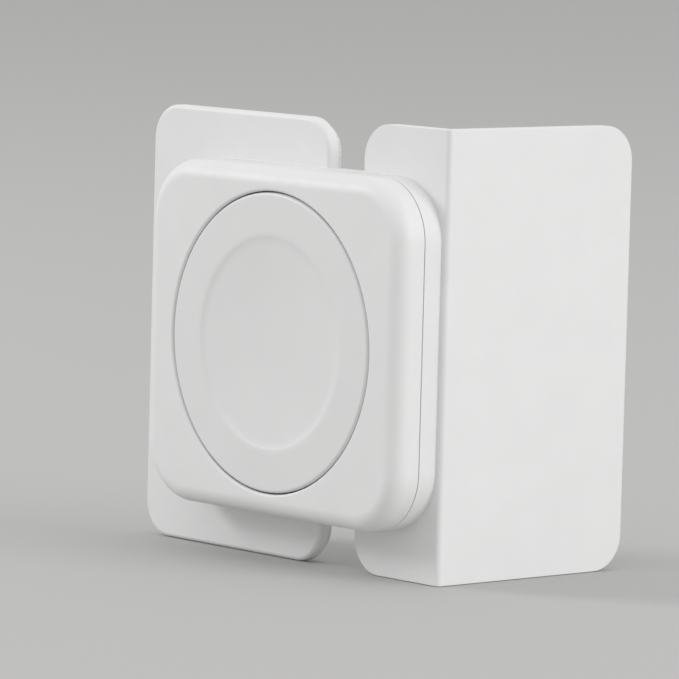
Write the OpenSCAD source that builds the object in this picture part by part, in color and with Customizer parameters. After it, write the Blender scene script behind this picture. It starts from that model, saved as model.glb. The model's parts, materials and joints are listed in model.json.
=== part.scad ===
// Stick-on safety lock for the outside corner of a drawer or door.
// Millimetres. The origin is the middle of the base plate's adhesive face, which lies on the side panel.
// +X points into the furniture, +Y to its back and +Z up; the drawer opens towards -Y.
// Levels whose names end in _q are distances outward from the side panel, so a level q lies at x = -q.

/* [Plates] */
// Height of the base plate and of the bracket
plate_h = 50; // [46:1:60]
// Thickness of the base plate and of the bracket's legs
plate_t = 1.5; // [1.4:0.1:2]
// Corner radius of the base plate and of the bracket's free ends
plate_r = 4; // [2:0.5:5]
// Rounding of the base plate's outer edge
plate_edge_r = 0.5; // [0.3:0.1:0.6]
// Outer radius of the bracket's fold
fold_r = 0.6; // [0.4:0.1:1.2]
// Width of the base plate along the side panel
base_w = 31; // [29:0.5:36]
// Gap between the base plate and the bracket's side leg
gap_w = 6; // [5:0.5:7]
// Width of the bracket's side leg, measured to its outer corner
side_leg_w = 14; // [12.5:0.5:14.5]
// Width of the bracket's front leg, measured to its outer corner
front_leg_w = 27.5; // [22:0.5:36]
// Thickness of the foam tape
pad_t = 1; // [0.8:0.1:1.5]
// Margin of bare plate round the foam tape
pad_margin = 0.7; // [0.4:0.1:1.5]

/* [Lock body] */
// Width of the lock body along the side panel
body_w = 43.5; // [41:0.5:47]
// Height of the lock body
body_h = 39; // [36:0.5:44]
// How far the lock body stands out from the plates
body_t = 6; // [6:0.25:7]
// Corner radius of the lock body
body_r = 7; // [6:0.5:8]
// Rounding of the cover's outer edge
body_edge_r = 2; // [0.5:0.1:2]
// Wall thickness of the lock body
wall = 1.5; // [1.3:0.1:1.5]
// Thickness of the cover's face
face_t = 1.2; // [1:0.1:1.2]
// Height of the parting line above the plates
lower_t = 2.5; // [2.5:0.1:2.8]
// Distance from the bracket's outer corner to the end of the lock body
body_end_inset = 0.8; // [0.8:0.1:2]
// Gap between the fixed and the moving half of the lock body
seam_gap = 0.3; // [0.2:0.05:0.4]
// Running gap of the sliding pieces
run_gap = 0.2; // [0.15:0.05:0.25]

/* [Push button] */
// Narrowest width of the cover's rim round the push button's hole
rim_w = 2.5; // [2.5:0.1:4]
// Gap round the push button
button_gap = 0.3; // [0.2:0.05:0.35]
// Thickness of the push button's face
button_t = 1.8; // [1.6:0.1:2]
// Rounding of the push button's edge
button_edge_r = 0.4; // [0.2:0.1:0.6]
// Thickness of the push button's skirt
skirt_t = 1.2; // [1:0.1:1.5]
// How far the flange grips behind the cover's face
flange_lip = 0.6; // [0.4:0.1:0.6]
// Thickness of the flange
flange_t = 0.8; // [0.6:0.1:0.9]
// Diameter of the shallow dish in the push button
dish_d = 24; // [18:0.5:26]
// Depth of the dish
dish_depth = 0.7; // [0.3:0.1:0.9]
// Travel of the push button
button_travel = 1.5; // [1:0.1:1.5]

/* [Springs] */
// Outer diameter of a button spring
spring_d = 4.4; // [3.8:0.1:4.6]
// Wire diameter of a button spring
wire_d = 0.45; // [0.35:0.05:0.5]
// Turns of a button spring
spring_turns = 3.5; // [3:0.5:4]
// Diameter of the posts that centre the springs
spring_post_d = 3; // [2:0.1:3]
// Height of those posts
spring_post_t = 1; // [0.6:0.1:1.2]

/* [Latch] */
// Inner half spacing of the strike's arms
arm_z = 4.6; // [4.4:0.1:4.8]
// Width of a strike arm
arm_w = 1.8; // [1.6:0.1:2]
// Height of a strike arm
arm_t = 2; // [1.8:0.1:2.1]
// How far the barbs' catch faces reach past the bracket's edge
catch_reach = 6.9; // [6.5:0.1:7.5]
// How far a barb stands in from its arm
barb_w = 1.4; // [1.2:0.1:1.6]
// Length of a barb
barb_len = 2.6; // [2:0.1:3]
// Length of a barb's straight tip
barb_land = 0.6; // [0.4:0.1:0.8]
// Height of the fork
fork_t = 2.1; // [1.9:0.1:2.1]
// Inner half spacing of the fork's prongs
prong_z = 1.5; // [1.3:0.1:1.6]
// Width of a prong
prong_w = 1.2; // [1.1:0.1:1.3]
// How far a hook stands out from its prong
hook_w = 1.5; // [1.3:0.1:1.6]
// Length of a hook
hook_len = 3; // [2.5:0.1:3.2]
// Thickness of the ribs that guide the strike's arms
guide_t = 0.8; // [0.6:0.1:0.9]
// Play between hook and barb
latch_play = 0.3; // [0.2:0.05:0.5]
// Length of the fork's root
root_len = 5; // [4.8:0.1:5.5]
// Height of the fork's root
root_t = 1.4; // [1.2:0.1:1.5]
// Half width of the fork's root
root_z = 4; // [3.8:0.1:4.4]
// Length of the cams under the push button
cam_len = 3; // [2:0.5:4]
// Width of a cam at its tip
cam_tip_w = 1.3; // [1:0.1:1.5]
// How far a cam's slope drives a prong inward
cam_throw = 1; // [0.9:0.1:1.1]

/* [Fasteners] */
// Diameter of the screws' shanks
screw_d = 1.6; // [1.4:0.1:1.7]
// Diameter of the screws' heads
head_d = 3.6; // [3.2:0.1:3.8]
// Height of the screws' heads
head_t = 0.8; // [0.6:0.1:0.9]
// Height of the fork screw's low head
low_head_t = 0.6; // [0.4:0.1:0.6]
// Diameter of the screw posts in the lock body
post_d = 4.4; // [4.2:0.1:4.6]
// Diameter of the boss that carries the fork
boss_d = 3; // [2.8:0.1:3.2]
// Half spacing of the strike's screws
strike_screw_z = 3.8; // [3.6:0.1:4]

/* [Hidden] */
$fn = 64;
fine_fn = 96;
// The dish is a small cap of a large sphere, so its circle needs many sides
dish_fn = 900;
overrun = 1;
fit_gap = 0.05;
stop_gap = 0.1;
thread_gap = 0.02;
side_count = 6;
rings_per_turn = 12;

// Shares of a length that place a detail on it
recess_share = 0.6;
recess_w_share = 0.16;
recess_depth_share = 0.5;
prong_clear_share = 0.1;
prong_root_share = 0.12;
cam_slope_share = 0.8;

// Levels outward from the side panel
plate_q = pad_t + plate_t;
split_q = plate_q + lower_t;
top_q = plate_q + body_t;
face_q = top_q - face_t;
arm_q = plate_q + run_gap;
arm_top_q = arm_q + arm_t;
fork_q = plate_q + fork_t;
root_q = plate_q + root_t;
boss_q = root_q - stop_gap;
fork_screw_q = pad_t + plate_t / 3;
under_button_q = top_q - button_t;
flange_q = face_q - stop_gap - flange_t;
cam_tip_q = max(arm_top_q, fork_q) + stop_gap;
head_seat_q = pad_t + fit_gap + head_t;
cam_slope_q = cam_tip_q + (under_button_q - cam_tip_q) * cam_slope_share;
strike_guide_q = plate_q + lower_t - wall;
strike_screw_q = arm_top_q - arm_t / 4;

// Places along Y
base_edge_y = -base_w / 2;
leg_edge_y = base_edge_y - gap_w;
corner_y = leg_edge_y - side_leg_w;
front_pad_y = corner_y + plate_t;
drawer_front_y = front_pad_y + pad_t;
body_front_y = corner_y + body_end_inset;
body_mid_y = body_front_y + body_w / 2;
body_back_y = body_front_y + body_w;
tray_front_y = leg_edge_y + seam_gap;
barb_y = leg_edge_y + catch_reach;
hook_y = barb_y - latch_play;
root_back_y = body_back_y - wall - seam_gap - run_gap;
root_front_y = root_back_y - root_len;
boss_y = root_back_y - root_len / 2;
cam_mid_y = (barb_y + barb_len + root_front_y) / 2;
strike_front_y = body_front_y + wall + seam_gap;
strike_back_y = leg_edge_y - wall;
strike_mid_y = (strike_front_y + strike_back_y) / 2;

// Places across, along Z
pad_top_z = plate_h / 2 - pad_margin;
inner_z = body_h / 2 - wall;
arm_out_z = arm_z + arm_w;
guide_z = arm_out_z + run_gap;
prong_out_z = prong_z + prong_w;
barb_z = arm_z - barb_w;
post_in = (body_r - wall / 2 - post_d / 2) / sqrt(2);
post_z = body_h / 2 - body_r + post_in;
post_y = body_back_y - body_r + post_in;

// Cover tabs, which snap into notches in the tray's side walls
tab_t = wall / 2 - fit_gap;
tab_len = 3.6;
tab_hook = wall / 6;
tab_tip_q = plate_q + run_gap;
tab_hook_q = tab_tip_q + tab_hook * 2;
tab_y = tray_front_y + wall + tab_len / 2;

hole_r = min(body_w, body_h) / 2 - rim_w;
button_r = hole_r - button_gap;
flange_r = hole_r + flange_lip;
skirt_r = button_r - skirt_t;
spring_z = skirt_r - spring_d / 2 - run_gap;
pilot_d = screw_d + thread_gap * 2;
passage_d = screw_d + run_gap * 2;

plastic = "whitesmoke";
white_foam = "gainsboro";
resin = "lightgray";
steel = "silver";

// Extrudes an outline drawn in Z and Y from level low_q out to level high_q
module outward(low_q, high_q) {
    translate([-low_q, 0, 0])
        rotate([0, -90, 0])
            linear_extrude(high_q - low_q)
                children();
}

// Extrudes an outline drawn in X and Z from y0 to y1
module along_y(y0, y1) {
    translate([0, y1, 0])
        rotate([90, 0, 0])
            linear_extrude(y1 - y0)
                children();
}

// A block given by its lowest and highest places across, along and outward
module block(z0, z1, y0, y1, low_q, high_q) {
    translate([-high_q, y0, z0])
        cube([high_q - low_q, y1 - y0, z1 - z0]);
}

// A round peg or bore that points outward
module peg(z, y, d, low_q, high_q) {
    translate([-low_q, y, z])
        rotate([0, -90, 0])
            cylinder(h = high_q - low_q, d = d);
}

// Draws its children above and below the middle
module both_sides() {
    children();
    mirror([0, 0, 1])
        children();
}

module rounded_rect(z_w, y_w, r) {
    square([z_w, y_w - r * 2], center = true);
    square([z_w - r * 2, y_w], center = true);
    for (sz = [-1, 1], sy = [-1, 1])
        translate([sz * (z_w / 2 - r), sy * (y_w / 2 - r)])
            circle(r);
}

// Half of a section whose outer top corner is rounded, from the middle out to half_w
module soft_half(half_w, t, edge_r) {
    square([half_w, t - edge_r]);
    square([half_w - edge_r, t]);
    translate([half_w - edge_r, t - edge_r])
        intersection() {
            circle(edge_r);
            square(edge_r);
        }
}

// A slab with round corners and a rounded outer edge, standing on low_q
module soft_slab(z_w, y_w, r, edge_r, low_q, high_q) {
    t = high_q - low_q;
    translate([-low_q, 0, 0])
        rotate([0, -90, 0]) {
            for (sz = [-1, 1], sy = [-1, 1])
                translate([sz * (z_w / 2 - r), sy * (y_w / 2 - r), 0])
                    rotate_extrude()
                        soft_half(r, t, edge_r);
            translate([0, y_w / 2 - r, 0])
                rotate([90, 0, 0])
                    linear_extrude(y_w - r * 2)
                        for (side = [0, 1])
                            mirror([side, 0])
                                soft_half(z_w / 2, t, edge_r);
            translate([r - z_w / 2, 0, 0])
                rotate([90, 0, 90])
                    linear_extrude(z_w - r * 2)
                        for (side = [0, 1])
                            mirror([side, 0])
                                soft_half(y_w / 2, t, edge_r);
        }
}

// The lock body's outline, or one inset from it
module body_outline(inset) {
    translate([0, body_mid_y])
        rounded_rect(body_h - inset * 2, body_w - inset * 2, body_r - inset);
}

// The part of the body's outline on one side of the seam between its halves
module behind_seam(inset) {
    intersection() {
        body_outline(inset);
        translate([-body_w, tray_front_y])
            square([body_w * 2, body_w * 2]);
    }
}

module before_seam(inset) {
    intersection() {
        body_outline(inset);
        translate([-body_w, leg_edge_y - body_w * 2])
            square([body_w * 2, body_w * 2]);
    }
}

// A screw with a cross recess: head outward when facing is 1, towards the furniture when it is -1
module screw(z, y, seat_q, length, head_h, facing) {
    translate([-seat_q, y, z])
        rotate([0, -90 * facing, 0])
            difference() {
                union() {
                    cylinder(h = head_h, d = head_d);
                    translate([0, 0, -length])
                        cylinder(h = length, d = screw_d);
                }
                for (turn = [0, 90])
                    rotate([0, 0, turn])
                        translate([0, 0, head_h])
                            cube([head_d * recess_share, head_d * recess_w_share,
                                head_h * recess_depth_share * 2], center = true);
            }
}

module lock_base() {
    color(plastic)
        difference() {
            union() {
                soft_slab(plate_h, base_w, plate_r, plate_edge_r, pad_t, plate_q);
                tray();
            }
            both_sides() {
                peg(post_z, post_y, passage_d, pad_t - overrun, split_q + overrun);
                peg(post_z, post_y, head_d + run_gap * 2, pad_t - overrun, head_seat_q);
            }
            peg(0, boss_y, pilot_d, fork_screw_q - stop_gap, boss_q + overrun);
        }
}

// The lower half of the lock body: a tray that is open towards the bracket. Its floor is the base
// plate and a tongue of the same thickness that reaches over the gap between the plates.
module tray() {
    difference() {
        outward(pad_t, split_q)
            behind_seam(0);
        outward(plate_q, split_q + overrun)
            body_outline(wall);
        both_sides() {
            block(inner_z - overrun, inner_z + wall / 2, tab_y - tab_len / 2 - run_gap,
                tab_y + tab_len / 2 + run_gap, plate_q, split_q + overrun);
            block(inner_z, inner_z + wall / 2 + tab_hook, tab_y - tab_len / 2 - run_gap,
                tab_y + tab_len / 2 + run_gap, plate_q, tab_hook_q + run_gap);
        }
    }
    both_sides() {
        block(guide_z, guide_z + guide_t, tray_front_y, barb_y + barb_len + wall,
            plate_q - fit_gap, arm_top_q);
        peg(post_z, post_y, post_d, plate_q - fit_gap, split_q);
        peg(spring_z, body_mid_y, spring_post_d, plate_q - fit_gap, plate_q + spring_post_t);
    }
    peg(0, boss_y, boss_d, plate_q - fit_gap, boss_q);
}

// The upper half of the lock body: a cap with the round hole for the push button
module cover() {
    color(plastic) {
        difference() {
            translate([0, body_mid_y, 0])
                soft_slab(body_h, body_w, body_r, body_edge_r, split_q, top_q);
            outward(split_q - overrun, face_q)
                difference() {
                    body_outline(wall);
                    for (side = [-1, 1])
                        translate([side * post_z, post_y])
                            circle(d = post_d);
                }
            peg(0, body_mid_y, hole_r * 2, split_q, top_q + overrun, $fn = fine_fn);
            both_sides()
                peg(post_z, post_y, pilot_d, split_q - overrun, face_q - stop_gap);
        }
        both_sides()
            tab();
    }
}

module tab() {
    block(inner_z + fit_gap, inner_z + fit_gap + tab_t - fit_gap, tab_y - tab_len / 2,
        tab_y + tab_len / 2, tab_tip_q, split_q + wall / 2);
    block(inner_z + fit_gap, inner_z + tab_t + tab_hook - fit_gap, tab_y - tab_len / 2,
        tab_y + tab_len / 2, tab_tip_q, tab_hook_q);
}

module cover_screws() {
    color(steel)
        both_sides()
            screw(post_z, post_y, head_seat_q, face_q - wall / 2 - head_seat_q, head_t, -1);
}

// One springy piece: a root on the boss and two prongs whose hooks hold the strike's barbs
module latch_fork() {
    color(resin)
        difference() {
            union() {
                block(-root_z, root_z, root_front_y, root_back_y, plate_q, root_q);
                both_sides() {
                    block(prong_z, prong_out_z, hook_y - hook_len,
                        root_front_y + root_len * prong_root_share,
                        plate_q + fork_t * prong_clear_share, fork_q);
                    outward(plate_q + fork_t * prong_clear_share, fork_q)
                        hook_outline();
                }
            }
            peg(0, boss_y, boss_d + fit_gap * 2, plate_q - overrun, fork_q + overrun);
        }
}

module hook_outline() {
    polygon([
        [prong_z, hook_y],
        [prong_out_z + hook_w, hook_y],
        [prong_out_z + hook_w, hook_y - barb_land],
        [prong_out_z, hook_y - hook_len],
        [prong_z, hook_y - hook_len],
    ]);
}

module fork_screw() {
    color(steel)
        screw(0, boss_y, root_q, root_q - fork_screw_q, low_head_t, 1);
}

// Centre line of a coil at a share of its length, standing on z = 0
function coil_mid(share, r, t) = [
    r * cos(360 * spring_turns * share),
    r * sin(360 * spring_turns * share),
    wire_d / 2 + (t - wire_d) * share,
];

// One ring of the wire, square to the coil's circle
function coil_ring(share, r, t) = [
    for (side = [0 : side_count - 1])
        let (turn = 360 * spring_turns * share, a = 360 * side / side_count)
            coil_mid(share, r, t)
                + wire_d / 2 * [cos(a) * cos(turn), cos(a) * sin(turn), sin(a)]
];

// A coil spring as one unbroken tube, between the tray floor and the push button
module button_spring(side) {
    t = under_button_q - plate_q - fit_gap * 2;
    rings = ceil(rings_per_turn * spring_turns);
    r = (spring_d - wire_d) / 2;
    points = [for (i = [0 : rings]) each coil_ring(i / rings, r, t)];
    walls = [
        for (i = [0 : rings - 1], s = [0 : side_count - 1])
            let (
                next = (s + 1) % side_count,
                a = i * side_count + s,
                b = i * side_count + next,
                c = (i + 1) * side_count + next,
                d = (i + 1) * side_count + s
            )
                each [[a, c, b], [a, d, c]]
    ];
    first_cap = [for (s = [1 : side_count - 2]) [0, s, s + 1]];
    start = rings * side_count;
    last_cap = [for (s = [1 : side_count - 2]) [start, start + s + 1, start + s]];
    color(steel)
        translate([-plate_q - fit_gap, body_mid_y, side * spring_z])
            rotate([0, -90, 0])
                polyhedron(points, concat(walls, first_cap, last_cap));
}

module push_button() {
    sphere_r = (pow(dish_d / 2, 2) + pow(dish_depth, 2)) / (dish_depth * 2);
    color(plastic) {
        translate([0, body_mid_y, 0])
            rotate([0, -90, 0])
                rotate_extrude($fn = fine_fn)
                    difference() {
                        union() {
                            translate([0, under_button_q])
                                soft_half(button_r, button_t, button_edge_r);
                            translate([skirt_r, flange_q])
                                square([skirt_t, under_button_q - flange_q + fit_gap]);
                            translate([skirt_r, flange_q])
                                square([flange_r - skirt_r, flange_t]);
                        }
                        translate([0, top_q - dish_depth + sphere_r])
                            circle(sphere_r, $fn = dish_fn);
                        translate([-flange_r * 2, 0])
                            square([flange_r * 2, top_q * 2]);
                    }
        both_sides() {
            cam();
            peg(spring_z, body_mid_y, spring_post_d, under_button_q - spring_post_t,
                under_button_q + fit_gap);
        }
    }
}

// A wedge under the push button, whose inner slope pinches a prong inward
module cam() {
    tip_z = prong_out_z + latch_play + run_gap;
    along_y(cam_mid_y - cam_len / 2, cam_mid_y + cam_len / 2)
        polygon([
            [-cam_tip_q, tip_z],
            [-cam_slope_q, tip_z - cam_throw],
            [-under_button_q - fit_gap, tip_z - cam_throw],
            [-under_button_q - fit_gap, tip_z + cam_tip_w],
            [-cam_tip_q, tip_z + cam_tip_w],
        ]);
}

// The L-shaped plate on the drawer front, with the block that continues the lock body
module drawer_bracket() {
    color(plastic)
        difference() {
            union() {
                folded_plate();
                difference() {
                    outward(plate_q - plate_t / 3, split_q - stop_gap)
                        before_seam(0);
                    outward(plate_q, split_q + overrun)
                        body_outline(wall);
                }
                both_sides()
                    block(guide_z, guide_z + guide_t, strike_front_y, strike_back_y,
                        plate_q - fit_gap, strike_guide_q);
            }
            both_sides() {
                peg(strike_screw_z, strike_mid_y, passage_d, pad_t - overrun, plate_q + overrun);
                peg(strike_screw_z, strike_mid_y, head_d + run_gap * 2, pad_t - overrun,
                    head_seat_q);
            }
        }
}

module folded_plate() {
    end_x = front_leg_w - plate_q;
    difference() {
        translate([0, 0, -plate_h / 2])
            linear_extrude(plate_h)
                difference() {
                    union() {
                        translate([-plate_q, corner_y])
                            square([plate_t, side_leg_w]);
                        translate([-plate_q, corner_y])
                            square([front_leg_w, plate_t]);
                    }
                    translate([-plate_q, corner_y])
                        corner_waste(fold_r);
                }
        both_sides() {
            outward(pad_t - overrun, plate_q + overrun)
                translate([plate_h / 2, leg_edge_y])
                    rotate(180)
                        corner_waste(plate_r);
            along_y(corner_y - overrun, front_pad_y + overrun)
                translate([end_x, plate_h / 2])
                    rotate(180)
                        corner_waste(plate_r);
        }
    }
}

// What a round of radius r takes off a corner whose sides run along +x and +y
module corner_waste(r) {
    difference() {
        translate([-overrun, -overrun])
            square(r + overrun);
        translate([r, r])
            circle(r);
    }
}

// The catch: a block screwed to the bracket and two barbed arms that reach into the tray
module strike() {
    color(resin)
        difference() {
            union() {
                block(-arm_out_z, arm_out_z, strike_front_y, strike_back_y, plate_q, arm_top_q);
                both_sides() {
                    block(arm_z, arm_out_z, strike_back_y - fit_gap, barb_y + barb_len,
                        arm_q, arm_top_q);
                    outward(arm_q, arm_top_q)
                        barb_outline();
                }
            }
            both_sides()
                peg(strike_screw_z, strike_mid_y, pilot_d, plate_q - overrun,
                    strike_screw_q + stop_gap);
        }
}

module barb_outline() {
    polygon([
        [arm_z + fit_gap, barb_y],
        [barb_z, barb_y],
        [barb_z, barb_y + barb_land],
        [arm_z, barb_y + barb_len],
        [arm_z + fit_gap, barb_y + barb_len],
    ]);
}

module strike_screws() {
    color(steel)
        both_sides()
            screw(strike_screw_z, strike_mid_y, head_seat_q, strike_screw_q - head_seat_q,
                head_t, -1);
}

module cabinet_pad() {
    color(white_foam)
        outward(0, pad_t)
            rounded_rect(pad_top_z * 2, base_w - pad_margin * 2, plate_r - pad_margin);
}

module side_pad() {
    end_y = leg_edge_y - pad_margin;
    color(white_foam)
        difference() {
            block(-pad_top_z, pad_top_z, drawer_front_y + fit_gap, end_y, 0, pad_t);
            both_sides()
                outward(-overrun, pad_t + overrun)
                    translate([pad_top_z, end_y])
                        rotate(180)
                            corner_waste(plate_r - pad_margin);
        }
}

module front_pad() {
    end_x = front_leg_w - plate_q - pad_margin;
    color(white_foam)
        difference() {
            translate([fit_gap, front_pad_y, -pad_top_z])
                cube([end_x - fit_gap, pad_t, pad_top_z * 2]);
            both_sides()
                along_y(front_pad_y - overrun, drawer_front_y + overrun)
                    translate([end_x, pad_top_z])
                        rotate(180)
                            corner_waste(plate_r - pad_margin);
        }
}

lock_base();
cover();
cover_screws();
latch_fork();
fork_screw();
button_spring(1);  // button_spring_upper
button_spring(-1);  // button_spring_lower
push_button();
drawer_bracket();
strike();
strike_screws();
cabinet_pad();
side_pad();
front_pad();
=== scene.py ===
import json
import math

import bmesh
import bpy
from mathutils import Matrix, Vector


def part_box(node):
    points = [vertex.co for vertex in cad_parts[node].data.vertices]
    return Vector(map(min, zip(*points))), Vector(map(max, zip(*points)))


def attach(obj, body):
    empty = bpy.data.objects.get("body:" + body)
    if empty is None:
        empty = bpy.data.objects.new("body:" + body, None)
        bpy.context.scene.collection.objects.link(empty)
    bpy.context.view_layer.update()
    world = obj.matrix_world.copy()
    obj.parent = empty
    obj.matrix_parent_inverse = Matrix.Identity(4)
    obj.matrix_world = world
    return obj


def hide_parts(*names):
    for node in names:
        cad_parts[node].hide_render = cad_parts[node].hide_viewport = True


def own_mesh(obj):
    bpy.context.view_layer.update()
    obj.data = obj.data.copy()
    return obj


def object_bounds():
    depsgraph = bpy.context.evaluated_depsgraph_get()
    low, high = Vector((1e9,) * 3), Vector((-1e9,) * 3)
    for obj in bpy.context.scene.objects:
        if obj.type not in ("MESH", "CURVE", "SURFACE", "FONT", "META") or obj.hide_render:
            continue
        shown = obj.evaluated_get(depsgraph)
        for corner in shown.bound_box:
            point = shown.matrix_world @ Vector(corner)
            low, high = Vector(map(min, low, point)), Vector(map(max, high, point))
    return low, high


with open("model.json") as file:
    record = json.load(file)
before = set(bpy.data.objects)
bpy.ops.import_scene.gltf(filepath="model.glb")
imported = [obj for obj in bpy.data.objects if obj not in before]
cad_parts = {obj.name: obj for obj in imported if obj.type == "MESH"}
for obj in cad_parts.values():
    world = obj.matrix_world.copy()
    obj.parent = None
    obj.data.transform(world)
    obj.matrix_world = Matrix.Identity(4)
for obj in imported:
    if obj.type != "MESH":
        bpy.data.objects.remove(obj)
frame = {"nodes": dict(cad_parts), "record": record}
cad_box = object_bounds()
MM = 0.001

# Camera, as fitted to the photograph's edges: it stands a little above the lock and off its corner.
# SEEN_HEIGHT at CAMERA_DISTANCE fills FRAME_SHARE of the picture, and LOOK_AT lies in its middle.
TARGET = Vector((-3, -23, 0)) * MM
CAMERA_AZIMUTH = math.radians(-41.2)
CAMERA_ELEVATION = math.radians(5.7)
CAMERA_ROLL = math.radians(1.5)
CAMERA_DISTANCE = 607 * MM
LOOK_AT = Vector((1.5, -13.5, 0)) * MM
SENSOR = 36
FRAME_SHARE = 0.72
SEEN_HEIGHT = 54 * MM
NEAR_CLIP = 10 * MM
FAR_CLIP = 100


def new_object(name, data):
    made = bpy.data.objects.new(name, data)
    bpy.context.scene.collection.objects.link(made)
    return made


def make_camera():
    back = Vector((
        math.sin(CAMERA_AZIMUTH) * math.cos(CAMERA_ELEVATION),
        -math.cos(CAMERA_AZIMUTH) * math.cos(CAMERA_ELEVATION),
        math.sin(CAMERA_ELEVATION),
    ))
    data = bpy.data.cameras.new("camera")
    camera = new_object("camera", data)
    camera.location = TARGET + back * CAMERA_DISTANCE
    aim = (LOOK_AT - camera.location).to_track_quat("-Z", "Y").to_matrix().to_4x4()
    roll = Matrix.Rotation(CAMERA_ROLL, 4, "Z")
    camera.matrix_world = Matrix.Translation(camera.location) @ aim @ roll
    data.sensor_width = SENSOR
    data.lens = SENSOR * FRAME_SHARE * CAMERA_DISTANCE / SEEN_HEIGHT
    data.clip_start = NEAR_CLIP
    data.clip_end = FAR_CLIP
    bpy.context.scene.camera = camera
    bpy.context.scene.view_settings.view_transform = "Standard"


# Meshes from rings of points
def quarter_turn(steps):
    """Angles from zero to a right angle in equal steps, both ends included."""
    return [math.pi / 2 * k / steps for k in range(steps + 1)]


def full_turn(steps):
    """Angles of a whole turn in equal steps, without its end."""
    return [math.tau * k / steps for k in range(steps)]


def edge_arc(r, steps):
    """Pairs that round an edge by r: how far in from its side and how far down from its top."""
    return [(r * (1 - math.sin(a)), r * (1 - math.cos(a))) for a in quarter_turn(steps)]


def skin(bm, rings, closed=False):
    """Joins neighbouring rings with quads. The last joins the first when closed, or else both get caps."""
    made = [[bm.verts.new(point) for point in ring] for ring in rings]
    pairs = list(zip(made, made[1:]))
    if closed:
        pairs.append((made[-1], made[0]))
    else:
        bm.faces.new(made[0])
        bm.faces.new(list(reversed(made[-1])))
    for first, second in pairs:
        for k in range(len(first)):
            after = (k + 1) % len(first)
            bm.faces.new((first[k], first[after], second[after], second[k]))


def add_block(bm, x, y, z):
    """A block between two places along each of x, y and z."""
    corners = [(x[0], y[0]), (x[1], y[0]), (x[1], y[1]), (x[0], y[1])]
    skin(bm, [[(a, b, c) for a, b in corners] for c in z])


def mesh_from(name, bm):
    bmesh.ops.recalc_face_normals(bm, faces=bm.faces)
    mesh = bpy.data.meshes.new(name)
    bm.to_mesh(mesh)
    bm.free()
    for face in mesh.polygons:
        face.use_smooth = True
    return mesh


# Stage and lights, whose places are given as a way from the lock's middle and a distance
FLOOR_GAP = 0.05 * MM
FLOOR_R = 4
FLOOR_SIDES = 96
WORLD_STRENGTH = 0.78
WINDOW_WAY = (-1, 1.15, 0.75)
WINDOW_DISTANCE = 1.2
WINDOW_SIZE = 0.35
WINDOW_WATTS = 4.6
FRONT_WAY = (0.3, -1, 0.35)
FRONT_DISTANCE = 1.4
FRONT_SIZE = 0.9
FRONT_WATTS = 7.4


def make_stage(material):
    """A flat round floor, far wider than any view of the lock."""
    low = cad_box[0].z - FLOOR_GAP
    turns = full_turn(FLOOR_SIDES)
    bm = bmesh.new()
    bm.faces.new([bm.verts.new((FLOOR_R * math.cos(a), FLOOR_R * math.sin(a), low)) for a in turns])
    mesh = mesh_from("stage", bm)
    mesh.materials.append(material)
    new_object("stage", mesh)


def area_light(name, way, distance, size, watts):
    data = bpy.data.lights.new(name, "AREA")
    data.shape = "DISK"
    data.size = size
    data.energy = watts
    light = new_object(name, data)
    centre = (cad_box[0] + cad_box[1]) / 2
    away = Vector(way).normalized()
    light.location = centre + away * distance
    light.rotation_euler = away.to_track_quat("Z", "Y").to_euler()


def make_lights():
    world = bpy.data.worlds.new("world")
    bpy.context.scene.world = world
    world.use_nodes = True
    background = world.node_tree.nodes["Background"]
    background.inputs["Color"].default_value = (1, 1, 1, 1)
    background.inputs["Strength"].default_value = WORLD_STRENGTH
    area_light("window", WINDOW_WAY, WINDOW_DISTANCE, WINDOW_SIZE, WINDOW_WATTS)
    area_light("front", FRONT_WAY, FRONT_DISTANCE, FRONT_SIZE, FRONT_WATTS)


# Materials. Most of a noise lies between NOISE_LOW and NOISE_HIGH.
NOISE_LOW = 0.3
NOISE_HIGH = 0.7


class Shader:
    """A Principled material whose nodes are added one by one."""

    def __init__(self, name, colour, roughness, **sockets):
        self.material = bpy.data.materials.new(name)
        self.material.use_nodes = True
        self.tree = self.material.node_tree
        self.main = self.tree.nodes["Principled BSDF"]
        self.main.inputs["Base Color"].default_value = (*colour, 1)
        self.main.inputs["Roughness"].default_value = roughness
        for socket, value in sockets.items():
            self.main.inputs[socket.replace("_", " ")].default_value = value
        self.place = self.node("ShaderNodeTexCoord").outputs["Object"]

    def node(self, kind, **settings):
        made = self.tree.nodes.new(kind)
        for key, value in settings.items():
            setattr(made, key, value)
        return made

    def link(self, output, target):
        self.tree.links.new(output, target)

    def noise(self, size, detail=2, squeeze=(1, 1, 1)):
        """Noise whose features are about size metres across, and squeeze times narrower along each axis."""
        mapping = self.node("ShaderNodeMapping")
        mapping.inputs["Scale"].default_value = [s / size for s in squeeze]
        self.link(self.place, mapping.inputs["Vector"])
        made = self.node("ShaderNodeTexNoise")
        made.inputs["Scale"].default_value = 1
        made.inputs["Detail"].default_value = detail
        self.link(mapping.outputs["Vector"], made.inputs["Vector"])
        return made.outputs["Fac"]

    def spread(self, value, low, high, from_low=NOISE_LOW, from_high=NOISE_HIGH):
        """The value with its range from_low to from_high spread to low to high, and held there."""
        made = self.node("ShaderNodeMapRange")
        made.inputs["From Min"].default_value = from_low
        made.inputs["From Max"].default_value = from_high
        made.inputs["To Min"].default_value = low
        made.inputs["To Max"].default_value = high
        self.link(value, made.inputs["Value"])
        return made.outputs["Result"]

    def mix_colour(self, value, first, second):
        made = self.node("ShaderNodeMix", data_type="RGBA")
        made.inputs["A"].default_value = (*first, 1)
        made.inputs["B"].default_value = (*second, 1)
        self.link(value, made.inputs["Factor"])
        return made.outputs["Result"]

    def bump(self, height, depth, strength=1, under=None):
        made = self.node("ShaderNodeBump")
        made.inputs["Distance"].default_value = depth
        made.inputs["Strength"].default_value = strength
        self.link(height, made.inputs["Height"])
        if under is not None:
            self.link(under, made.inputs["Normal"])
        return made.outputs["Normal"]


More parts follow.
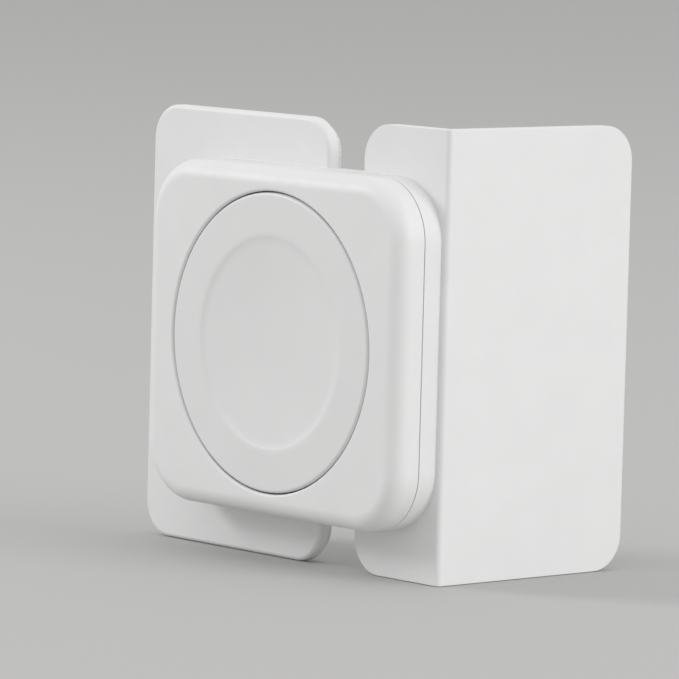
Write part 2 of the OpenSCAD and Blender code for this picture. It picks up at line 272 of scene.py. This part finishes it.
# Moulded plastic: faint shades, patches of more and less gloss, an eroded grain and slow waves
SHADE_SIZE = 6 * MM
GLOSS_SIZE = 2.2 * MM
GLOSS_GAIN = 0.05
GLOSS_LOSS = 0.06
GRAIN_SIZE = 0.16 * MM
WAVE_SIZE = 5 * MM
WAVE_DEPTH = 0.02 * MM
WAVE_STRENGTH = 0.35


def moulded_plastic(name, colour, shade, roughness, grain):
    s = Shader(name, colour, roughness, Specular_IOR_Level=0.5)
    cloudy = s.spread(s.noise(SHADE_SIZE, detail=3), 0, 1)
    s.link(s.mix_colour(cloudy, colour, shade), s.main.inputs["Base Color"])
    gloss = s.spread(s.noise(GLOSS_SIZE, detail=4), roughness - GLOSS_GAIN, roughness + GLOSS_LOSS)
    s.link(gloss, s.main.inputs["Roughness"])
    fine = s.bump(s.noise(GRAIN_SIZE), grain)
    waves = s.bump(s.noise(WAVE_SIZE, detail=1), WAVE_DEPTH, WAVE_STRENGTH, fine)
    s.link(waves, s.main.inputs["Normal"])
    return s.material


# Acrylic foam tape: a matt skin full of tiny cells, with soft dents. The hollow of each cell is painted
# darker, as painted shade.
CELL_SIZE = 0.32 * MM
CELL_RIM = 0.6
CELL_DEPTH = 0.05 * MM
CELL_STRENGTH = 0.7
DENT_SIZE = 1.5 * MM
DENT_DEPTH = 0.06 * MM
DENT_STRENGTH = 0.5


def foam(name, colour, shade):
    s = Shader(name, colour, roughness=0.85, Specular_IOR_Level=0.25)
    cells = s.node("ShaderNodeTexVoronoi")
    cells.inputs["Scale"].default_value = 1 / CELL_SIZE
    s.link(s.place, cells.inputs["Vector"])
    # Painted shade: the colour darkens from each cell's rim to its hollow middle
    depth = s.spread(cells.outputs["Distance"], 0, 1, 0, CELL_RIM)
    s.link(s.mix_colour(depth, shade, colour), s.main.inputs["Base Color"])
    dents = s.bump(s.noise(DENT_SIZE, detail=3), DENT_DEPTH, DENT_STRENGTH)
    s.link(s.bump(depth, CELL_DEPTH, CELL_STRENGTH, dents), s.main.inputs["Normal"])
    return s.material


# Metal with fine marks, which are drawn out to streaks where squeeze narrows them
STREAK_SIZE = 0.25 * MM
STREAK_DEPTH = 0.004 * MM
STREAK_STRENGTH = 0.6
POLISH_GAIN = 0.08
POLISH_LOSS = 0.12


def metal(name, colour, roughness, squeeze=(1, 1, 1)):
    s = Shader(name, colour, roughness, Metallic=1)
    streaks = s.noise(STREAK_SIZE, detail=4, squeeze=squeeze)
    gloss = s.spread(streaks, roughness - POLISH_GAIN, roughness + POLISH_LOSS)
    s.link(gloss, s.main.inputs["Roughness"])
    s.link(s.bump(streaks, STREAK_DEPTH, STREAK_STRENGTH), s.main.inputs["Normal"])
    return s.material


# The stage is matt paper with a faint grain
PAPER_COLOUR = (0.5, 0.497, 0.49)
PAPER_SIZE = 0.6 * MM
PAPER_DEPTH = 0.02 * MM
PAPER_STRENGTH = 0.2


def stage_material():
    s = Shader("stage_paper", PAPER_COLOUR, roughness=0.9, Specular_IOR_Level=0.1)
    s.link(s.bump(s.noise(PAPER_SIZE), PAPER_DEPTH, PAPER_STRENGTH), s.main.inputs["Normal"])
    return s.material


# Each piece takes the body of the node that it replaces
BODY_OF = {n: body for body, nodes in frame["record"]["behaviour"]["bodies"].items() for n in nodes}


def settle(piece, node, material):
    """Turns the modifiers into the mesh, then gives the piece its finish and its body, and hides the node
    that it replaces.
    """
    flat = piece.modifiers.new("flat", "WEIGHTED_NORMAL")
    flat.keep_sharp = True
    shown = piece.evaluated_get(bpy.context.evaluated_depsgraph_get())
    mesh = bpy.data.meshes.new_from_object(shown)
    piece.modifiers.clear()
    piece.data = mesh
    mesh.materials.clear()
    mesh.materials.append(material)
    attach(piece, BODY_OF[node])
    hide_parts(node)


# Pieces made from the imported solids, with their sharp edges softened as a mould leaves them
WELD = 0.0005 * MM
FLAT = math.radians(0.2)
SHARP = math.radians(38)
SOFT = 0.12 * MM
SHELL_SOFT = 0.16 * MM
SCREW_SOFT = 0.06 * MM
SOFT_SEGMENTS = 3


def softened(node, name, material, width=SOFT, segments=SOFT_SEGMENTS, share=None, bm=None):
    """The node's solid with its sharp edges rounded to width times the share for the edge's middle."""
    if bm is None:
        bm = bmesh.new()
        bm.from_mesh(frame["nodes"][node].data)
    bmesh.ops.remove_doubles(bm, verts=bm.verts, dist=WELD)
    bmesh.ops.dissolve_limit(bm, angle_limit=FLAT, verts=bm.verts, edges=bm.edges)
    weights = bm.edges.layers.float.new("bevel_weight_edge")
    for edge in bm.edges:
        if len(edge.link_faces) == 2 and edge.calc_face_angle() > SHARP:
            middle = (edge.verts[0].co + edge.verts[1].co) / 2
            edge[weights] = share(middle) if share else 1
    piece = new_object(name, mesh_from(name, bm))
    bevel = piece.modifiers.new("bevel", "BEVEL")
    bevel.width = width
    bevel.segments = segments
    bevel.limit_method = "WEIGHT"
    bevel.miter_outer = "MITER_ARC"
    settle(piece, node, material)
    return piece


# The lock body. A level is a height over the side panel, and so a distance towards -X.
COVER_LOW, COVER_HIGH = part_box("cover")
HALF_Y = (COVER_HIGH.y - COVER_LOW.y) / 2
HALF_Z = (COVER_HIGH.z - COVER_LOW.z) / 2
BODY_MID_Y = (COVER_LOW.y + COVER_HIGH.y) / 2
BODY_R = 7 * MM
CORNER_STEPS = 24
SIDE_STEPS = 14


def quarter_outline():
    """A quarter of the body's outline as places one corner radius inside it, each with its way out."""
    corner_y = HALF_Y - BODY_R
    corner_z = HALF_Z - BODY_R
    shares = [k / SIDE_STEPS for k in range(SIDE_STEPS)]
    side = [(corner_y, corner_z * share, 1, 0) for share in shares]
    corner = [(corner_y, corner_z, math.cos(a), math.sin(a)) for a in quarter_turn(CORNER_STEPS)]
    end = [(corner_y * (1 - share), corner_z, 0, 1) for share in shares[1:]]
    return side + corner + end


def whole_outline():
    quarter = quarter_outline()
    last = (0, HALF_Z - BODY_R, 0, 1)
    half = quarter + [last] + [(-y, z, -dy, dz) for y, z, dy, dz in reversed(quarter)]
    return half + [(y, -z, dy, -dz) for y, z, dy, dz in reversed(half[1:-1])]


OUTLINE = whole_outline()
ANGLES = [math.atan2(z + BODY_R * dz, y + BODY_R * dy) for y, z, dy, dz in OUTLINE]


def body_ring(inset, level):
    out = BODY_R - inset
    return [(-level, BODY_MID_Y + y + out * dy, z + out * dz) for y, z, dy, dz in OUTLINE]


def round_ring(r, level, y=BODY_MID_Y, z=0, angles=ANGLES):
    return [(-level, y + r * math.cos(a), z + r * math.sin(a)) for a in angles]


# The cover, with a fine seam over the tray and a closer one over the bracket's block
TOP = -COVER_LOW.x
COVER_H = 3.5 * MM
SPLIT = TOP - COVER_H
FACE_T = 1.2 * MM
FACE = TOP - FACE_T
WALL = 1.5 * MM
EDGE_R = 2 * MM
EDGE_STEPS = 12
HOLE_R = 16.92 * MM
HOLE_EDGE_R = 0.3 * MM
HOLE_EDGE_STEPS = 6
TRAY_FRONT_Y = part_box("lock_base")[0].y
SEAM_D = 0.12 * MM
SEAM_H = 0.12 * MM
PARTING_R = 0.02 * MM

# Its two screw posts, which stand in the back corners
POST_R = 2.2 * MM
POST_IN = (BODY_R - WALL / 2 - POST_R) / math.sqrt(2)
POST_Z = HALF_Z - BODY_R + POST_IN
POST_Y = COVER_HIGH.y - BODY_R + POST_IN
POST_SINK = 0.02 * MM
POST_SIDES = 48
PILOT_R = 0.82 * MM

# Its two snap tabs
TAB_Y = (-19.7 * MM, -16.1 * MM)
TAB_Z = (18.05 * MM, 18.7 * MM)
TAB_TIP_X = COVER_HIGH.x
TAB_HOOK_Z = 18.9 * MM
TAB_HOOK_H = 0.5 * MM


def seam_ring(over_tray, over_block):
    """A ring of the cover's lower edge, whose inset and rise differ over the tray and over the block."""
    ring = []
    for y, z, dy, dz in OUTLINE:
        on_tray = BODY_MID_Y + y + BODY_R * dy > TRAY_FRONT_Y
        inset, rise = over_tray if on_tray else over_block
        out = BODY_R - inset
        ring.append((-SPLIT - rise, BODY_MID_Y + y + out * dy, z + out * dz))
    return ring


def cover(material):
    rings = [
        seam_ring((SEAM_D, 0), (PARTING_R, 0)),
        seam_ring((SEAM_D, SEAM_H), (0, PARTING_R)),
        body_ring(0, SPLIT + SEAM_H),
    ]
    rings += [body_ring(inset, TOP - down) for down, inset in edge_arc(EDGE_R, EDGE_STEPS)]
    rings += [round_ring(HOLE_R + out, TOP - down) for out, down in edge_arc(HOLE_EDGE_R, HOLE_EDGE_STEPS)]
    rings += [round_ring(HOLE_R, FACE), body_ring(WALL, FACE), body_ring(WALL, SPLIT)]
    bm = bmesh.new()
    skin(bm, rings, closed=True)
    post = [(POST_R, SPLIT), (POST_R, FACE + POST_SINK), (PILOT_R, FACE - POST_SINK), (PILOT_R, SPLIT)]
    turns = full_turn(POST_SIDES)
    for side in (-1, 1):
        skin(bm, [round_ring(r, level, POST_Y, side * POST_Z, turns) for r, level in post], closed=True)
        walls = sorted(side * z for z in TAB_Z)
        hook = sorted((sum(walls) / 2, side * TAB_HOOK_Z))
        add_block(bm, (-SPLIT - WALL / 2, TAB_TIP_X), TAB_Y, walls)
        add_block(bm, (TAB_TIP_X - TAB_HOOK_H, TAB_TIP_X), TAB_Y, hook)
    settle(new_object("cover_shell", mesh_from("cover_shell", bm)), "cover", material)


# The push button, a turned form with a dish in its face and a skirt and a flange under it
BUTTON_R = 16.74 * MM
BUTTON_EDGE_R = 0.35 * MM
BUTTON_EDGE_STEPS = 8
BUTTON_T = 1.8 * MM
UNDER = TOP - BUTTON_T
SKIRT_R = 15.5 * MM
FLANGE_R = 17.6 * MM
FLANGE_T = 0.8 * MM
FLANGE_GAP = 0.1 * MM
FLANGE_LOW = FACE - FLANGE_GAP - FLANGE_T
DISH_R = 12 * MM
DISH_DEPTH = 0.7 * MM
DISH_LIP_DROP = 0.15 * MM
DISH_LIP_W = 0.5 * MM
DISH_LIP_BEND = (DISH_R - DISH_LIP_W / 3, TOP - DISH_LIP_DROP / 4)
DISH_STEPS = 18

# Its two cams, whose slopes press the fork's prongs together. CAM has a level and a Z for each corner.
CAM_Y = (-6.6 * MM, -3.6 * MM)
CAM_TIP = 4.8 * MM
CAM_SLOPE_TOP = 6.32 * MM
CAM_ROOT = 6.75 * MM
CAM_TIP_Z = 3.2 * MM
CAM_IN_Z = 2.2 * MM
CAM_OUT_Z = 4.5 * MM
CAM = [
    (CAM_TIP, CAM_TIP_Z),
    (CAM_SLOPE_TOP, CAM_IN_Z),
    (CAM_ROOT, CAM_IN_Z),
    (CAM_ROOT, CAM_OUT_Z),
    (CAM_TIP, CAM_OUT_Z),
]

# Its two spring posts
SPRING_Z = 13.1 * MM
SPRING_POST_R = 1.5 * MM
SPRING_POST_H = 1 * MM
SPRING_POST_SINK = 0.05 * MM
SPRING_POST_SIDES = 32


def button_profile():
    """Radius and level of each ring, from the dish's middle over the edge to the underside."""
    bowl_r = DISH_R - DISH_LIP_W
    bowl_depth = DISH_DEPTH - DISH_LIP_DROP
    sphere_r = (bowl_r ** 2 + bowl_depth ** 2) / (2 * bowl_depth)
    profile = []
    for k in range(1, DISH_STEPS + 1):
        r = bowl_r * k / DISH_STEPS
        profile.append((r, TOP - DISH_DEPTH + sphere_r - math.sqrt(sphere_r ** 2 - r ** 2)))
    profile += [DISH_LIP_BEND, (DISH_R, TOP), (DISH_R + DISH_LIP_W, TOP)]
    edge = edge_arc(BUTTON_EDGE_R, BUTTON_EDGE_STEPS)
    profile += [(BUTTON_R - inset, TOP - down) for inset, down in edge]
    flange_top = FLANGE_LOW + FLANGE_T
    profile += [
        (BUTTON_R, flange_top),
        (FLANGE_R - SOFT, flange_top),
        (FLANGE_R, flange_top - SOFT),
        (FLANGE_R, FLANGE_LOW + SOFT),
        (FLANGE_R - SOFT, FLANGE_LOW),
        (SKIRT_R + SOFT, FLANGE_LOW),
        (SKIRT_R, FLANGE_LOW + SOFT),
        (SKIRT_R, UNDER),
        (SPRING_POST_R, UNDER),
    ]
    return profile


def push_button(material):
    bm = bmesh.new()
    skin(bm, [round_ring(r, level) for r, level in button_profile()])
    post_end = UNDER - SPRING_POST_H
    post = [
        (SPRING_POST_R, UNDER + SPRING_POST_SINK),
        (SPRING_POST_R, post_end + SOFT),
        (SPRING_POST_R - SOFT, post_end),
    ]
    turns = full_turn(SPRING_POST_SIDES)
    for side in (-1, 1):
        skin(bm, [round_ring(r, level, BODY_MID_Y, side * SPRING_Z, turns) for r, level in post])
        skin(bm, [[(-level, y, side * z) for level, z in CAM] for y in CAM_Y])
    settle(new_object("button_face", mesh_from("button_face", bm)), "push_button", material)


# The button springs, wound from round wire, which shorten towards the tray's floor
COIL_R = 1.975 * MM
WIRE_R = 0.225 * MM
WIRE_SIDES = 12
COIL_TURNS = 3.5
RINGS_PER_TURN = 36
COIL_LOW = 2.55 * MM
COIL_HIGH = 6.65 * MM


def coil(side, name, node, material):
    steps = int(RINGS_PER_TURN * COIL_TURNS)
    rise = COIL_HIGH - COIL_LOW - 2 * WIRE_R
    rings = []
    for k in range(steps + 1):
        share = k / steps
        turn = math.tau * COIL_TURNS * share
        level = COIL_LOW + WIRE_R + rise * share
        ring = []
        for a in full_turn(WIRE_SIDES):
            r = COIL_R + WIRE_R * math.cos(a)
            x = -level - WIRE_R * math.sin(a)
            ring.append((x, BODY_MID_Y + r * math.sin(turn), side * SPRING_Z + r * math.cos(turn)))
        rings.append(ring)
    bm = bmesh.new()
    skin(bm, rings)
    piece = new_object(name, mesh_from(name, bm))
    settle(piece, node, material)
    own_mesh(piece)


# The bracket's outer edges are rounder than the small edges of the block on it
BRACKET_LOW, BRACKET_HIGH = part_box("drawer_bracket")
BRACKET_SOFT = 0.42 * MM
BRACKET_SEGMENTS = 5
INNER_SHARE = 0.4
BLOCK_TOP_SHARE = 0.05
PLATE_TOP = 2.5 * MM
RIM_W = 4.2 * MM
FOLD_R = 0.6 * MM
NEAR = 0.02 * MM


def bracket_share(middle):
    """1 on the outer rim of the two legs, less on the edges that face the furniture and on the block."""
    if abs(middle.x - BRACKET_LOW.x) < NEAR:
        return BLOCK_TOP_SHARE
    from_side_face = abs(middle.x + PLATE_TOP)
    from_front_face = abs(middle.y - BRACKET_LOW.y)
    on_fold = max(from_side_face, from_front_face) < FOLD_R
    outside = on_fold or min(from_side_face, from_front_face) < NEAR
    at_rim = abs(middle.z) > BRACKET_HIGH.z - RIM_W
    at_end = abs(middle.y - BRACKET_HIGH.y) < NEAR or middle.x > BRACKET_HIGH.x - RIM_W
    return 1 if outside and (at_rim or at_end) else INNER_SHARE


# The fork's prongs bend towards each other when the button's cams pinch them, its root stays put
FORK_CUT_Y = 1.75 * MM
CUT_REACH = 0.1 * MM


def fork_half(way):
    """The fork cut just before its root: the root when way is 1, and the two prongs when it is -1."""
    bm = bmesh.new()
    bm.from_mesh(frame["nodes"]["latch_fork"].data)
    bmesh.ops.remove_doubles(bm, verts=bm.verts, dist=WELD)
    cut = bmesh.ops.bisect_plane(
        bm,
        geom=bm.verts[:] + bm.edges[:] + bm.faces[:],
        plane_co=(0, FORK_CUT_Y, 0),
        plane_no=(0, way, 0),
        clear_inner=True,
    )
    rim = [e for e in cut["geom_cut"] if isinstance(e, bmesh.types.BMEdge)]
    bmesh.ops.edgenet_fill(bm, edges=rim)
    return bm


def fork_share(middle):
    """No rounding where the fork's two pieces meet."""
    return 0 if abs(middle.y - FORK_CUT_Y) < CUT_REACH else 1


def latch_fork(material):
    softened("latch_fork", "fork_root", material, share=fork_share, bm=fork_half(1))
    prongs = softened("latch_fork", "fork_prongs", material, share=fork_share, bm=fork_half(-1))
    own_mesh(prongs)


make_camera()
make_lights()
make_stage(stage_material())

WHITE = moulded_plastic(
    "white_plastic", (0.8, 0.8, 0.8), shade=(0.78, 0.78, 0.78), roughness=0.5, grain=0.005 * MM
)
# The button's plastic is the cover's white painted a little darker, as painted shade for its dish
BUTTON_PAINTED_SHADE = moulded_plastic(
    "button_plastic", (0.77, 0.77, 0.77), shade=(0.755, 0.755, 0.755), roughness=0.48, grain=0.004 * MM
)
ACETAL = moulded_plastic(
    "acetal", (0.76, 0.75, 0.71), shade=(0.72, 0.71, 0.66), roughness=0.32, grain=0.003 * MM
)
# The foam's shade colour is the painted shade in the hollows of its cells
FOAM = foam("foam_tape", (0.74, 0.74, 0.73), shade=(0.62, 0.62, 0.61))
ZINC = metal("zinc_steel", (0.62, 0.63, 0.65), roughness=0.3)
WIRE = metal("spring_steel", (0.5, 0.5, 0.5), roughness=0.28, squeeze=(1, 1, 6))

cover(WHITE)
push_button(BUTTON_PAINTED_SHADE)
softened("lock_base", "base_shell", WHITE, SHELL_SOFT)
softened("drawer_bracket", "corner_bracket", WHITE, BRACKET_SOFT, BRACKET_SEGMENTS, bracket_share)
softened("strike", "strike_catch", ACETAL)
latch_fork(ACETAL)
for place in ("cabinet", "side", "front"):
    softened(place + "_pad", place + "_tape", FOAM)
for screws in ("cover_screws", "strike_screws", "fork_screw"):
    softened(screws, screws + "_steel", ZINC, SCREW_SOFT)
coil(1, "coil_upper", "button_spring_upper", WIRE)
coil(-1, "coil_lower", "button_spring_lower", WIRE)
